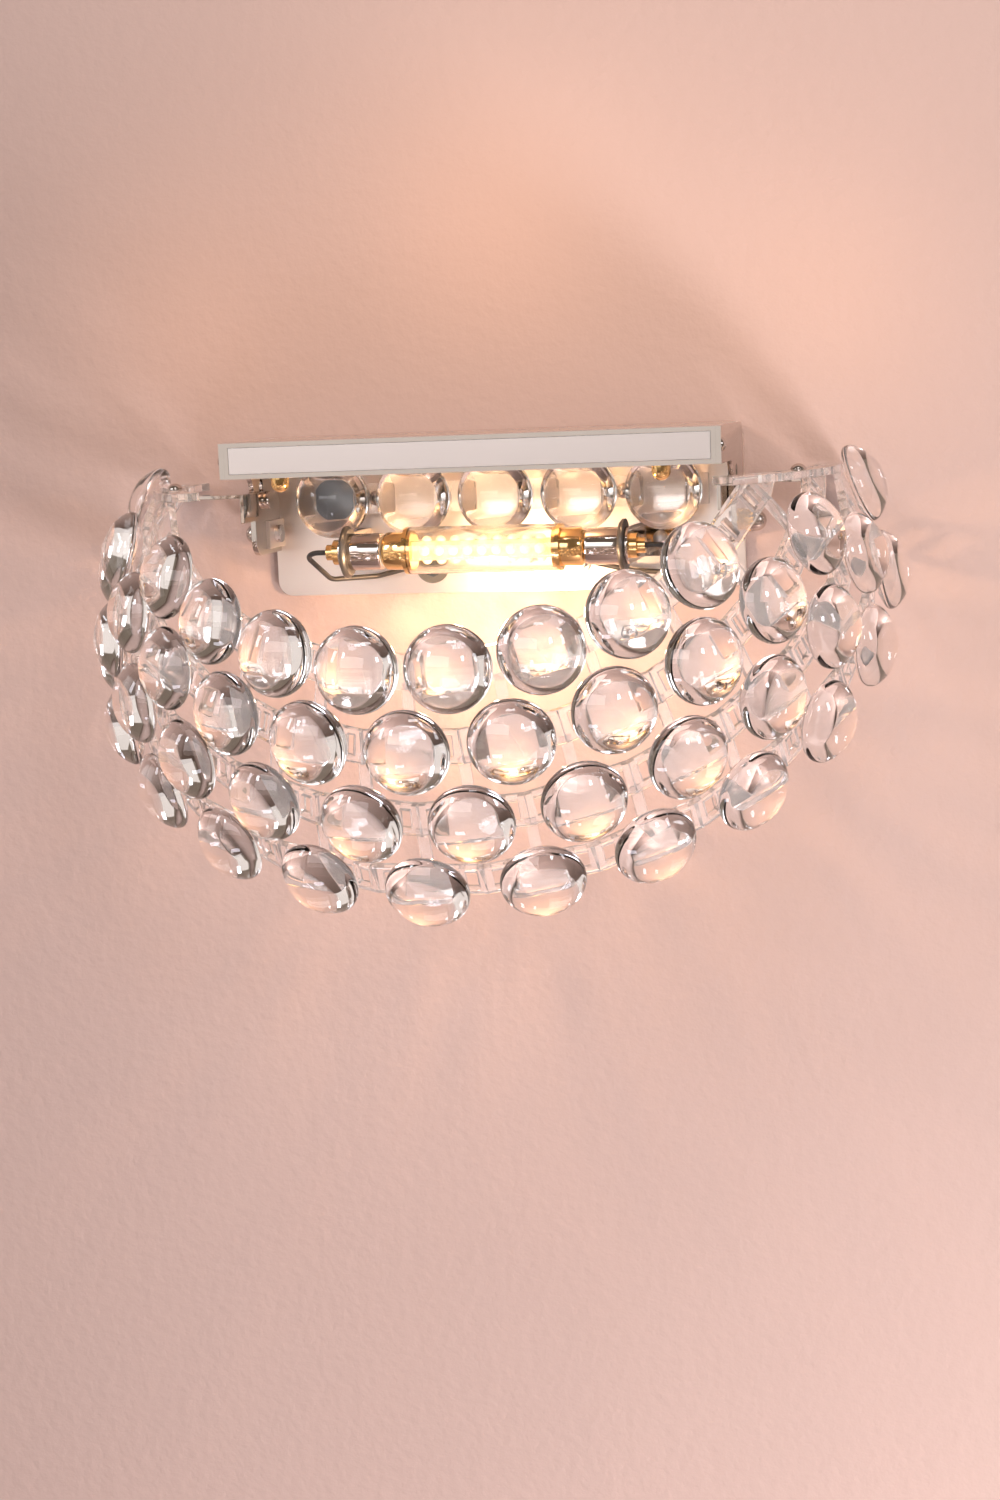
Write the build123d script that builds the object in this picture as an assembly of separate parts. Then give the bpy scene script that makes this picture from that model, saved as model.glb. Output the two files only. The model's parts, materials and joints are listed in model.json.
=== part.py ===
from build123d import *
import os
from math import atan2, cos, degrees, radians, sin, sqrt, tan

# Wall sconce: a nickel wall unit with a double-ended lamp, and a basket of crystal discs hung in front of it.
# Millimetres. X runs to the right, Y into the wall, Z up.
# The origin is the middle of the wall plate's rear face.

# Wall plate
PLATE_WIDTH = 190.0
PLATE_HEIGHT = 63.5
PLATE_THICK = 2.0
WALL_HOLE_SPACING = 156.0
WALL_HOLE_RADIUS = 2.5
WALL_HOLE_Z = 24.0
BUSH_X = -30.0
BUSH_Z = -21.0
BUSH_BORE = 4.0
BUSH_WALL = 1.2
BUSH_LIP = 1.5
BUSH_LIP_THICK = 1.6

# Front bar and end cheeks
BAR_HEIGHT = 13.5
BAR_REACH = 64.0
BAR_DEPTH = 6.0
BAR_LIP = 1.75
FACE_THICK = 0.8
CHEEK_THICK = 2.0
CHEEK_LEG = 30.0
CHEEK_DROP = 45.0
CHEEK_CORNER = 6.0
SCREW_RADIUS = 2.0
DOME_RADIUS = 4.0
NUT_RADIUS = 3.5
WASHER_THICK = 1.0
BAR_SCREW_RADIUS = 1.5
BAR_SCREW_LENGTH = 9.0
UNDER_NUT_SPACING = 145.0
UNDER_NUT_RADIUS = 3.5
UNDER_NUT_NECK = 2.5
UNDER_NUT_DOME = 3.0
UNDER_NUT_STUD = 6.0
TAB_ABOVE_CHEEK_END = 2.0
TAB_HEIGHT = 11.0
TAB_DEPTH = 18.0
TAB_THICK = 1.5
NUT_SPACER = 3.5
NUT_SPACER_RIBS = 12
LOOSE = 0.3
SNUG = 0.05

# Lamp and lampholders
LAMP_REACH = 38.0
LAMP_Z = -12.0
LAMP_LENGTH = 78.0
TUBE_RADIUS = 9.0
TUBE_WALL = 1.2
CAP_LENGTH = 10.0
CAP_RADIUS = 7.2
CAP_FLANGE = 1.5
CAP_CHAMFER = 1.0
PIN_RADIUS = 1.6
PIN_LENGTH = 1.5
RECESS_DEPTH = 4.0
LAMP_CORE_SIDE = 7.0
LED_RADIUS = 1.9
LED_PITCH = 5.6
LED_COUNT = 9
HOLDER_GAP = 0.8
HOLDER_FRONT_WALL = 3.0
HOLDER_REAR_WALL = 1.0
HOLDER_RADIUS = 7.0
SHELL_WALL = 1.0
CONTACT_RADIUS = 2.4
CONTACT_COLLAR = 3.4
CONTACT_COLLAR_THICK = 1.2
CONTACT_TRAVEL = 3.5
CONTACT_NOSE = 1.0
SPRING_ROOM = 4.0
SPRING_WIRE = 0.3
SPRING_TURNS = 4
FLANGE_RADIUS = 10.0
FLANGE_THICK = 2.0
ARM_THICK = 1.5
ARM_HEIGHT = 14.0
ARM_FOOT = 12.0
STEM_RADIUS = 3.0
STEM_NUT_RADIUS = 4.8
STEM_LENGTH = 6.0
LEAD_RADIUS = 1.0
LEAD_BEND = 5.0
BLOCK_WIDTH = 24.0
BLOCK_DEPTH = 11.0
BLOCK_HEIGHT = 13.0
BLOCK_POLES = 3
BLOCK_UP = 8.0
BLOCK_NOTCH = 1.0
LEAD_UNDER_ARM = 3.0

# Straight row of crystals behind the bar
BACK_COUNT = 5
BACK_PITCH = 33.0
BACK_Z = 7.0
BACK_GAP = 6.0
BACK_SCREW_RADIUS = 1.5
BACK_DOME_RADIUS = 3.0

# Crystal discs: flat back, bevel, rounded rim and domed front
CRYSTAL_RADIUS = 15.0
CRYSTAL_BACK = 6.5
CRYSTAL_BEVEL = 4.0
CRYSTAL_RIM = 2.5
CRYSTAL_DOME = 8.0
CRYSTAL_ROUND = 1.0

# Basket: hoops of straight ladder links round a tilted axis, one crystal to a link
BOWL_RADIUS = 146.0
BOWL_DROP = 47.0
BOWL_FORWARD = 10.0
BOWL_TILT_ANGLE = 52.0
FIRST_ROW_ANGLE = 50.5
ROW_STEP_ANGLE = 10.4
LINK_STEP_ANGLE = 15.5
ROW_CRYSTALS = (8, 11, 14, 13)
ROW_LINKS = (12, 13, 14, 13)
LINK_WIDTH = 12.0
LINK_THICK = 3.0
LINK_RAIL = 2.2
LINK_RUNG = 1.8
LINK_PAD = 10.0
LINK_WINDOWS = 2
STRUT_WIDTH = 4.0
STRUT_THICK = 2.0
STRUT_SINK = 1.5
WALL_GAP = 2.0

# Top rails and hangers, with the lift that frees the basket
LIFT = 6.0
LIFT_ROOM = 0.5
RAIL_THICK = 3.0
RAIL_INSIDE = 8.0
RAIL_LAP = 5.0
RAIL_WINDOW_ANGLE = 3.6
RAIL_WINDOW_STEP_ANGLE = 5.0
HANGER_THICK = 1.5
HANGER_FRONT = 50.0
HANGER_FOOT = 10.0
HANGER_HEIGHT = 11.0
SLOT_FROM_WALL = 23.0
SLOT_BELOW_FOOT = 3.5
SLOT_DOME_HEIGHT = 3.0
HANGER_PAST_SLOT = 6.0
FOOT_SHORT = 1.0
FOOT_SCREW_IN = 2.6

# Places worked out from the sizes above
PLATE_FRONT = -PLATE_THICK
BAR_TOP = PLATE_HEIGHT / 2
BAR_BOTTOM = BAR_TOP - BAR_HEIGHT
CHEEK_OUT = PLATE_WIDTH / 2
CHEEK_IN = CHEEK_OUT - CHEEK_THICK
CHEEK_LOW = BAR_TOP - CHEEK_DROP
TAB_LOW = CHEEK_LOW + TAB_ABOVE_CHEEK_END
BLOCK_LOW = -BAR_TOP + BLOCK_UP
LAMP_Y = -LAMP_REACH
LAMP_HALF = LAMP_LENGTH / 2
TUBE_HALF = LAMP_HALF - CAP_LENGTH
TUBE_BORE = TUBE_RADIUS - TUBE_WALL
RECESS_RADIUS = CONTACT_RADIUS + LOOSE
HOLDER_START = LAMP_HALF + HOLDER_GAP
CONTACT_TIP = LAMP_HALF - RECESS_DEPTH + PIN_LENGTH
CHAMBER_START = HOLDER_START + HOLDER_FRONT_WALL
CHAMBER_RADIUS = CONTACT_COLLAR + LOOSE
COLLAR_START = CHAMBER_START + LOOSE
COLLAR_END = COLLAR_START + CONTACT_COLLAR_THICK
CHAMBER_END = COLLAR_END + CONTACT_TRAVEL + SPRING_ROOM
HOLDER_END = CHAMBER_END + HOLDER_REAR_WALL
FLANGE_END = HOLDER_END + FLANGE_THICK
ARM_END = FLANGE_END + ARM_THICK
RAIL_BOTTOM = BAR_BOTTOM - LIFT - LIFT_ROOM
RAIL_ABOVE = RAIL_BOTTOM + BOWL_DROP
RAIL_SEAT = sqrt((BOWL_RADIUS - LINK_THICK) ** 2 - RAIL_ABOVE ** 2)
RAIL_INNER = RAIL_SEAT - RAIL_INSIDE
RAIL_OUTER = RAIL_SEAT + LINK_THICK
HANGER_OUT = CHEEK_IN - LOOSE
HANGER_IN = HANGER_OUT - HANGER_THICK
FOOT_MIDDLE = HANGER_FOOT / 2 - HANGER_FRONT
FOOT_END = sqrt((RAIL_SEAT - FOOT_SHORT) ** 2 - (HANGER_FRONT - BOWL_FORWARD) ** 2)
RAIL_SCREW_X = FOOT_END - FOOT_SCREW_IN
SLOT_Z = RAIL_BOTTOM - SLOT_BELOW_FOOT
BACK_FACE = PLATE_FRONT - BACK_GAP - LINK_THICK
BACK_SCREW_X = 1.5 * BACK_PITCH
BOWL = Plane(
    origin=(0, -BOWL_FORWARD, -BOWL_DROP),
    x_dir=(0, -sin(radians(BOWL_TILT_ANGLE)), -cos(radians(BOWL_TILT_ANGLE))),
    z_dir=(0, -cos(radians(BOWL_TILT_ANGLE)), sin(radians(BOWL_TILT_ANGLE))),
)
FAR = 400.0


def block(x0, x1, y0, y1, z0, z1):
    """A box between two corners."""
    middle = ((x0 + x1) / 2, (y0 + y1) / 2, (z0 + z1) / 2)
    return Pos(*middle) * Box(abs(x1 - x0), abs(y1 - y0), abs(z1 - z0))


def rod(start, direction, radius, length):
    """A round bar from a point along a direction."""
    return extrude(Plane(origin=start, z_dir=direction) * Circle(radius), amount=length)


def dome(start, direction, radius, height):
    """A low dome on a flat base, as on a dome-headed screw."""
    sphere_radius = (radius ** 2 + height ** 2) / (2 * height)
    ball = Pos(0, 0, height - sphere_radius) * Sphere(sphere_radius)
    cap = ball & Pos(0, 0, height / 2) * Box(2 * radius, 2 * radius, height)
    return Plane(origin=start, z_dir=direction).location * cap


def turned(*profile):
    """A piece turned about the lamp's axis, from (along, radius) points."""
    outline = make_face(Polyline(*profile, close=True))
    return Pos(0, LAMP_Y, LAMP_Z) * revolve(outline, Axis.X)


def left(shape):
    """The left-hand twin of a right-hand piece."""
    return mirror(shape, about=Plane.YZ)


def both(shape):
    """A right-hand piece with its left-hand twin."""
    return [shape, left(shape)]


def write(name, *pieces):
    """Writes a node from one piece or from a group of separate pieces."""
    solids = [solid for piece in pieces for solid in piece.solids()]
    shape = solids[0] if len(solids) == 1 else Compound(children=solids)
    export_step(shape, f"parts/{name}.step")


# Wall unit: plate, bar and cheeks


def wall_plate():
    """Bent plate: a back on the wall, a hood forward to the bar, a tab at each end for the cheek, and its holes."""
    body = block(-CHEEK_OUT, CHEEK_OUT, PLATE_FRONT, 0, -BAR_TOP, BAR_TOP)
    body = fillet(body.edges().filter_by(Axis.Y), CHEEK_CORNER)
    body += block(-CHEEK_IN, CHEEK_IN, BAR_DEPTH - BAR_REACH, PLATE_FRONT, BAR_TOP - PLATE_THICK, BAR_TOP)
    tab_front = PLATE_FRONT - TAB_DEPTH
    tab = block(CHEEK_IN - TAB_THICK, CHEEK_IN, tab_front, PLATE_FRONT, TAB_LOW, TAB_LOW + TAB_HEIGHT)
    tab -= rod((CHEEK_IN - TAB_THICK, nut_y(), nut_z()), (1, 0, 0), SCREW_RADIUS + SNUG, TAB_THICK)
    body += both(tab)
    for side in (-1, 1):
        start = (side * WALL_HOLE_SPACING / 2, PLATE_FRONT, WALL_HOLE_Z)
        body -= rod(start, (0, 1, 0), WALL_HOLE_RADIUS, PLATE_THICK)
    body -= rod((BUSH_X, PLATE_FRONT, BUSH_Z), (0, 1, 0), BUSH_BORE + BUSH_WALL, PLATE_THICK)
    return body


def nut_y():
    """Depth of the dome nuts on the cheeks."""
    return PLATE_FRONT - TAB_DEPTH / 2


def nut_z():
    """Height of the dome nuts on the cheeks."""
    return TAB_LOW + TAB_HEIGHT / 2


def cheek():
    """Right end cheek: an upright leg at the wall and an arm out to the bar, with the hanger's slot."""
    outline = Polyline(
        (PLATE_FRONT, BAR_TOP),
        (-BAR_REACH, BAR_TOP),
        (-BAR_REACH, BAR_BOTTOM),
        (PLATE_FRONT - CHEEK_LEG, BAR_BOTTOM),
        (PLATE_FRONT - CHEEK_LEG, CHEEK_LOW),
        (PLATE_FRONT, CHEEK_LOW),
        close=True,
    )
    flat = make_face(outline)
    inner = flat.vertices().sort_by_distance((PLATE_FRONT - CHEEK_LEG, BAR_BOTTOM))[0]
    rear_top = flat.vertices().sort_by_distance((PLATE_FRONT, BAR_TOP))[0]
    low = flat.vertices().sort_by_distance((PLATE_FRONT - CHEEK_LEG, CHEEK_LOW))[0]
    flat = fillet([inner, rear_top, low], CHEEK_CORNER)
    flat -= Pos(-SLOT_FROM_WALL, SLOT_Z + LIFT / 2) * SlotCenterToCenter(LIFT, 2 * (SCREW_RADIUS + LOOSE), 90)
    flat -= Pos(nut_y(), nut_z()) * Circle(SCREW_RADIUS + SNUG)
    flat -= Pos(bar_screw_y(), bar_middle()) * Circle(BAR_SCREW_RADIUS + SNUG)
    side = Plane(origin=(CHEEK_IN, 0, 0), x_dir=(0, 1, 0), z_dir=(1, 0, 0))
    return extrude(side * flat, amount=CHEEK_THICK)


def bar_screw_y():
    """Depth of the screws in the bar's ends."""
    return -BAR_REACH + FACE_THICK + (BAR_DEPTH - FACE_THICK) / 2


def bar_middle():
    """Middle height of the bar."""
    return (BAR_TOP + BAR_BOTTOM) / 2


def front_bar():
    """Slim bar between the cheeks, with a bed for the satin strip and holes for its screws and studs."""
    front = -BAR_REACH
    body = block(-CHEEK_IN, CHEEK_IN, front, front + BAR_DEPTH, BAR_BOTTOM, BAR_TOP)
    face_half = CHEEK_IN - BAR_LIP
    body -= block(-face_half, face_half, front, front + FACE_THICK, BAR_BOTTOM + BAR_LIP, BAR_TOP - BAR_LIP)
    depth = BAR_SCREW_LENGTH - CHEEK_THICK
    hole = rod((CHEEK_IN, bar_screw_y(), bar_middle()), (-1, 0, 0), BAR_SCREW_RADIUS + SNUG, depth)
    stud_hole = rod(under_nut_seat(), (0, 0, 1), BAR_SCREW_RADIUS + SNUG, UNDER_NUT_STUD + LOOSE)
    for side in [*both(hole), *both(stud_hole)]:
        body -= side
    return body


def bar_face():
    """Satin strip that lies flush in the bar's bed."""
    front = -BAR_REACH
    half = CHEEK_IN - BAR_LIP - SNUG
    low = BAR_BOTTOM + BAR_LIP + SNUG
    high = BAR_TOP - BAR_LIP - SNUG
    return block(-half, half, front, front + FACE_THICK, low, high)


def bar_screw():
    """Dome-headed screw through the right cheek into the bar's end."""
    start = (CHEEK_OUT, bar_screw_y(), bar_middle())
    shank = rod(start, (-1, 0, 0), BAR_SCREW_RADIUS, BAR_SCREW_LENGTH - LOOSE)
    return shank + dome(start, (1, 0, 0), BAR_DEPTH / 2 - LOOSE, BAR_SCREW_RADIUS)


def under_nut_seat():
    """Middle of the right dome nut's seat on the bar's underside."""
    return (UNDER_NUT_SPACING / 2, -BAR_REACH + UNDER_NUT_RADIUS + LOOSE, BAR_BOTTOM)


def under_nut():
    """Right dome nut under the bar, on a stud that goes up into it."""
    x, y, z = under_nut_seat()
    body = rod((x, y, z), (0, 0, -1), UNDER_NUT_RADIUS, UNDER_NUT_NECK)
    body += dome((x, y, z - UNDER_NUT_NECK), (0, 0, -1), UNDER_NUT_RADIUS, UNDER_NUT_DOME)
    return body + rod((x, y, z), (0, 0, 1), BAR_SCREW_RADIUS, UNDER_NUT_STUD)


def cheek_bolt():
    """Bolt from inside the tab out through the cheek and the ribbed spacer."""
    start = (CHEEK_IN - TAB_THICK, nut_y(), nut_z())
    length = TAB_THICK + CHEEK_THICK + NUT_SPACER + DOME_RADIUS / 2
    shank = rod(start, (1, 0, 0), SCREW_RADIUS, length)
    return shank + rod(start, (-1, 0, 0), NUT_RADIUS, SCREW_RADIUS)


def cheek_spacer():
    """Ribbed spacer under the dome nut."""
    at = Plane(origin=(CHEEK_OUT, nut_y(), nut_z()), x_dir=(0, 1, 0), z_dir=(1, 0, 0))
    outline = Circle(DOME_RADIUS)
    rib = Circle(LOOSE + SNUG)
    for spot in PolarLocations(DOME_RADIUS, NUT_SPACER_RIBS):
        outline -= spot * rib
    outline -= Circle(SCREW_RADIUS + SNUG)
    return extrude(at * outline, amount=NUT_SPACER)


def dome_nut():
    """Closed nut with a domed end on the cheek bolt."""
    start = (CHEEK_OUT + NUT_SPACER, nut_y(), nut_z())
    neck = DOME_RADIUS / 2 + LOOSE
    body = rod(start, (1, 0, 0), DOME_RADIUS, neck)
    body += dome((start[0] + neck, start[1], start[2]), (1, 0, 0), DOME_RADIUS, DOME_RADIUS - LOOSE)
    return body - rod(start, (1, 0, 0), SCREW_RADIUS + SNUG, DOME_RADIUS / 2 + SNUG)


# Wall unit: supply


def cable_bush():
    """Soft bush in the plate's cable hole, with a lip in front."""
    start = (BUSH_X, 0, BUSH_Z)
    lip_start = (BUSH_X, PLATE_FRONT, BUSH_Z)
    body = rod(start, (0, -1, 0), BUSH_BORE + BUSH_WALL - SNUG, PLATE_THICK)
    body += rod(lip_start, (0, -1, 0), BUSH_BORE + BUSH_WALL + BUSH_LIP, BUSH_LIP_THICK)
    return body - rod(start, (0, -1, 0), BUSH_BORE, PLATE_THICK + BUSH_LIP_THICK)


def block_pole(index):
    """Middle of one pole of the terminal block, along X."""
    return (index - (BLOCK_POLES - 1) / 2) * BLOCK_WIDTH / BLOCK_POLES


def terminal_block():
    """Terminal block with a screw well in front of each pole and notches between the poles."""
    low = BLOCK_LOW
    front = PLATE_FRONT - BLOCK_DEPTH
    body = block(-BLOCK_WIDTH / 2, BLOCK_WIDTH / 2, front, PLATE_FRONT, low, low + BLOCK_HEIGHT)
    for index in range(BLOCK_POLES):
        start = (block_pole(index), front, low + BLOCK_HEIGHT / 2)
        body -= rod(start, (0, 1, 0), SCREW_RADIUS + LOOSE, BLOCK_DEPTH / 2)
    for index in range(BLOCK_POLES - 1):
        x = (block_pole(index) + block_pole(index + 1)) / 2
        rear = front + BLOCK_DEPTH / 3
        body -= block(x - BLOCK_NOTCH / 2, x + BLOCK_NOTCH / 2, front, rear, low, low + BLOCK_HEIGHT)
    return body


def terminal_screws():
    """One clamping screw at the bottom of each well."""
    front = PLATE_FRONT - BLOCK_DEPTH / 2
    middle = BLOCK_LOW + BLOCK_HEIGHT / 2
    spots = [(block_pole(index), front, middle) for index in range(BLOCK_POLES)]
    return [rod(spot, (0, -1, 0), SCREW_RADIUS, SCREW_RADIUS) for spot in spots]


def earth_screw():
    """Earth screw with a flat washer, on the plate's front."""
    start = (-BUSH_X, PLATE_FRONT, BUSH_Z)
    body = rod(start, (0, -1, 0), DOME_RADIUS, WASHER_THICK)
    return body + rod(start, (0, -1, 0), SCREW_RADIUS + LOOSE, SCREW_RADIUS + WASHER_THICK)


# Wall unit: lampholders


def lamp_arm():
    """Right lamp arm: an upright plate with a round end at the lamp's axis, and a foot on the wall plate."""
    side = Plane(origin=(FLANGE_END, 0, 0), x_dir=(0, 1, 0), z_dir=(1, 0, 0))
    reach = LAMP_REACH + PLATE_FRONT
    flat = Pos(LAMP_Y + reach / 2, LAMP_Z) * Rectangle(reach, ARM_HEIGHT)
    flat += Pos(LAMP_Y, LAMP_Z) * Circle(ARM_HEIGHT / 2)
    flat -= Pos(LAMP_Y, LAMP_Z) * Circle(STEM_RADIUS + SNUG)
    body = extrude(side * flat, amount=ARM_THICK)
    low = LAMP_Z - ARM_HEIGHT / 2
    foot = block(FLANGE_END, ARM_END + ARM_FOOT, PLATE_FRONT - ARM_THICK, PLATE_FRONT, low, low + ARM_HEIGHT)
    return body + foot


def arm_screw():
    """Screw that holds the arm's foot."""
    start = (ARM_END + ARM_FOOT / 2, PLATE_FRONT - ARM_THICK, LAMP_Z)
    return dome(start, (0, -1, 0), BACK_DOME_RADIUS, SCREW_RADIUS)


def holder_shell():
    """Polished sleeve round the ceramic core."""
    inner = HOLDER_RADIUS - SHELL_WALL
    return turned(
        (HOLDER_START, inner),
        (HOLDER_START, HOLDER_RADIUS - SHELL_WALL / 2),
        (HOLDER_START + SHELL_WALL / 2, HOLDER_RADIUS),
        (HOLDER_END, HOLDER_RADIUS),
        (HOLDER_END, inner),
    )


def holder_core():
    """Ceramic core with a guide bore for the contact and a chamber for its collar and spring."""
    outer = HOLDER_RADIUS - SHELL_WALL
    guide = CONTACT_RADIUS + SNUG
    return turned(
        (HOLDER_START, guide),
        (HOLDER_START, outer),
        (HOLDER_END, outer),
        (HOLDER_END, 0),
        (CHAMBER_END, 0),
        (CHAMBER_END, CHAMBER_RADIUS),
        (CHAMBER_START, CHAMBER_RADIUS),
        (CHAMBER_START, guide),
    )


def contact():
    """Sprung contact: a round-nosed plunger with a collar behind."""
    nose = CONTACT_TIP + SNUG
    return turned(
        (nose, 0),
        (nose, CONTACT_RADIUS - CONTACT_NOSE),
        (nose + CONTACT_NOSE, CONTACT_RADIUS),
        (COLLAR_START, CONTACT_RADIUS),
        (COLLAR_START, CONTACT_COLLAR),
        (COLLAR_END, CONTACT_COLLAR),
        (COLLAR_END, 0),
    )


def contact_spring():
    """Coil spring between the contact's collar and the end of the chamber."""
    coil_radius = CONTACT_COLLAR - SPRING_WIRE - LOOSE
    length = CHAMBER_END - COLLAR_END - 2 * (SPRING_WIRE + SNUG)
    path = Helix(pitch=length / SPRING_TURNS, height=length, radius=coil_radius)
    coil = sweep(Plane(origin=path @ 0, z_dir=path % 0) * Circle(SPRING_WIRE), path, is_frenet=True)
    start = (COLLAR_END + SPRING_WIRE + SNUG, LAMP_Y, LAMP_Z)
    return Plane(origin=start, z_dir=(1, 0, 0)).location * coil


def holder_flange():
    """Dark flange behind the sleeve, with a hole for the stem."""
    return turned(
        (HOLDER_END, STEM_RADIUS + SNUG),
        (HOLDER_END, FLANGE_RADIUS - FLANGE_THICK / 2),
        (HOLDER_END + FLANGE_THICK / 2, FLANGE_RADIUS),
        (FLANGE_END, FLANGE_RADIUS),
        (FLANGE_END, STEM_RADIUS + SNUG),
    )


def holder_stem():
    """Gilt stem through the arm, with a nut face outside and a bore for the lead."""
    bore = LEAD_RADIUS + SNUG
    return turned(
        (HOLDER_END, bore),
        (HOLDER_END, STEM_RADIUS),
        (ARM_END, STEM_RADIUS),
        (ARM_END, STEM_NUT_RADIUS),
        (ARM_END + STEM_LENGTH / 2, STEM_NUT_RADIUS),
        (ARM_END + STEM_LENGTH / 2, STEM_RADIUS),
        (ARM_END + STEM_LENGTH, STEM_RADIUS),
        (ARM_END + STEM_LENGTH, bore),
    )


def lead():
    """Right lead from the stem back to the terminal block, held along its whole way."""
    block_side = BLOCK_WIDTH / 2
    block_z = BLOCK_LOW + BLOCK_HEIGHT / 2
    low = LAMP_Z - ARM_HEIGHT / 2 - 2 * LEAD_RADIUS - LEAD_UNDER_ARM
    out = ARM_END + STEM_LENGTH
    route = FilletPolyline(
        (ARM_END, LAMP_Y, LAMP_Z),
        (out + 2 * LEAD_BEND, LAMP_Y, LAMP_Z),
        (out + LEAD_BEND, LAMP_Y / 2, low),
        (ARM_END - LEAD_BEND, PLATE_FRONT - BLOCK_DEPTH / 2, low),
        (block_side + 2 * LEAD_BEND, PLATE_FRONT - BLOCK_DEPTH / 2, block_z),
        (block_side, PLATE_FRONT - BLOCK_DEPTH / 2, block_z),
        radius=LEAD_BEND,
    )
    section = Plane(origin=route @ 0, z_dir=route % 0) * Circle(LEAD_RADIUS)
    return sweep(section, path=route)


# Lamp


def lamp_tube():
    """Clear tube."""
    return turned(
        (-TUBE_HALF, TUBE_BORE), (-TUBE_HALF, TUBE_RADIUS), (TUBE_HALF, TUBE_RADIUS), (TUBE_HALF, TUBE_BORE)
    )


def lamp_cap():
    """Right end cap: a flange that closes the tube, a barrel and a recess for the contact."""
    plug = TUBE_HALF - CAP_FLANGE
    floor = LAMP_HALF - RECESS_DEPTH
    return turned(
        (plug, 0),
        (plug, TUBE_BORE - SNUG),
        (TUBE_HALF, TUBE_BORE - SNUG),
        (TUBE_HALF, TUBE_RADIUS),
        (TUBE_HALF + CAP_FLANGE, TUBE_RADIUS),
        (TUBE_HALF + CAP_FLANGE, CAP_RADIUS),
        (LAMP_HALF - CAP_CHAMFER, CAP_RADIUS),
        (LAMP_HALF, CAP_RADIUS - CAP_CHAMFER),
        (LAMP_HALF, RECESS_RADIUS),
        (floor, RECESS_RADIUS),
        (floor, 0),
    )


def lamp_pin():
    """Right contact pin on the floor of the cap's recess."""
    floor = LAMP_HALF - RECESS_DEPTH
    return turned((floor, 0), (floor, PIN_RADIUS), (floor + PIN_LENGTH, PIN_RADIUS), (floor + PIN_LENGTH, 0))


def lamp_core():
    """Square stick that carries the light points, from cap to cap."""
    half = LAMP_CORE_SIDE / 2
    end = TUBE_HALF - CAP_FLANGE
    return block(-end, end, LAMP_Y - half, LAMP_Y + half, LAMP_Z - half, LAMP_Z + half)


def lamp_leds():
    """A row of light points on each face of the stick."""
    half = LAMP_CORE_SIDE / 2
    points = []
    for index in range(LED_COUNT):
        x = (index - (LED_COUNT - 1) / 2) * LED_PITCH
        for y, z in ((1, 0), (-1, 0), (0, 1), (0, -1)):
            start = (x, LAMP_Y + y * half, LAMP_Z + z * half)
            points.append(dome(start, (0, y, z), LED_RADIUS, LED_RADIUS))
    return points


# Basket


def crystal():
    """One crystal disc, standing on its flat back."""
    rim_low = CRYSTAL_BEVEL
    rim_high = CRYSTAL_BEVEL + CRYSTAL_RIM
    top = rim_high + CRYSTAL_DOME
    dome_radius = (CRYSTAL_RADIUS ** 2 + CRYSTAL_DOME ** 2) / (2 * CRYSTAL_DOME)
    sides = Polyline(
        (0, top),
        (0, 0),
        (CRYSTAL_BACK, 0),
        (CRYSTAL_RADIUS, rim_low),
        (CRYSTAL_RADIUS, rim_high),
    )
    front = RadiusArc((CRYSTAL_RADIUS, rim_high), (0, top), -dome_radius)
    outline = make_face([*sides.edges(), front])
    rim = [v for v in outline.vertices() if abs(v.X - CRYSTAL_RADIUS) < 1e-6]
    outline = fillet(rim, CRYSTAL_ROUND)
    return revolve(Plane.XZ * outline, Axis.Z)


def row_angle(row):
    """Angle of a row from the bowl's axis."""
    return FIRST_ROW_ANGLE + row * ROW_STEP_ANGLE


def link_plane(row):
    """Outer face of a row's link, before it is turned round the axis. Its x runs along the row."""
    angle = radians(row_angle(row))
    outward = (sin(angle), 0, cos(angle))
    origin = (BOWL_RADIUS * outward[0], 0, BOWL_RADIUS * outward[2])
    return Plane(origin=origin, x_dir=(0, 1, 0), z_dir=outward)


def spots(count):
    """Turns about the axis of a row's pieces, spread evenly about the middle."""
    return [(index - (count - 1) / 2) * LINK_STEP_ANGLE for index in range(count)]


def link(row):
    """One straight ladder link: two rails, rungs and a pad, mitred to meet its neighbours."""
    angle = radians(row_angle(row))
    half_step = tan(radians(LINK_STEP_ANGLE / 2))
    half = (BOWL_RADIUS * sin(angle) - LINK_WIDTH / 2 * cos(angle)) * half_step
    flat = Rectangle(4 * half, LINK_WIDTH)
    opening = half - LINK_RUNG - LINK_PAD / 2
    cell = opening / LINK_WINDOWS
    window = Rectangle(cell - LINK_RUNG, LINK_WIDTH - 2 * LINK_RAIL)
    for index in range(LINK_WINDOWS):
        x = LINK_PAD / 2 + (index + 0.5) * cell
        flat -= Pos(x, 0) * window
        flat -= Pos(-x, 0) * window
    plate = extrude(link_plane(row) * flat, amount=-LINK_THICK)
    wedge = make_face(Polyline((0, 0), (FAR, -FAR * half_step), (FAR, FAR * half_step), close=True))
    return plate & extrude(Plane.XY.offset(-FAR) * wedge, amount=2 * FAR)


def in_bowl(shape, turn):
    """Turns a piece round the bowl's axis and sets it in the bowl's place."""
    return BOWL.location * Rot(0, 0, turn) * shape


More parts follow.
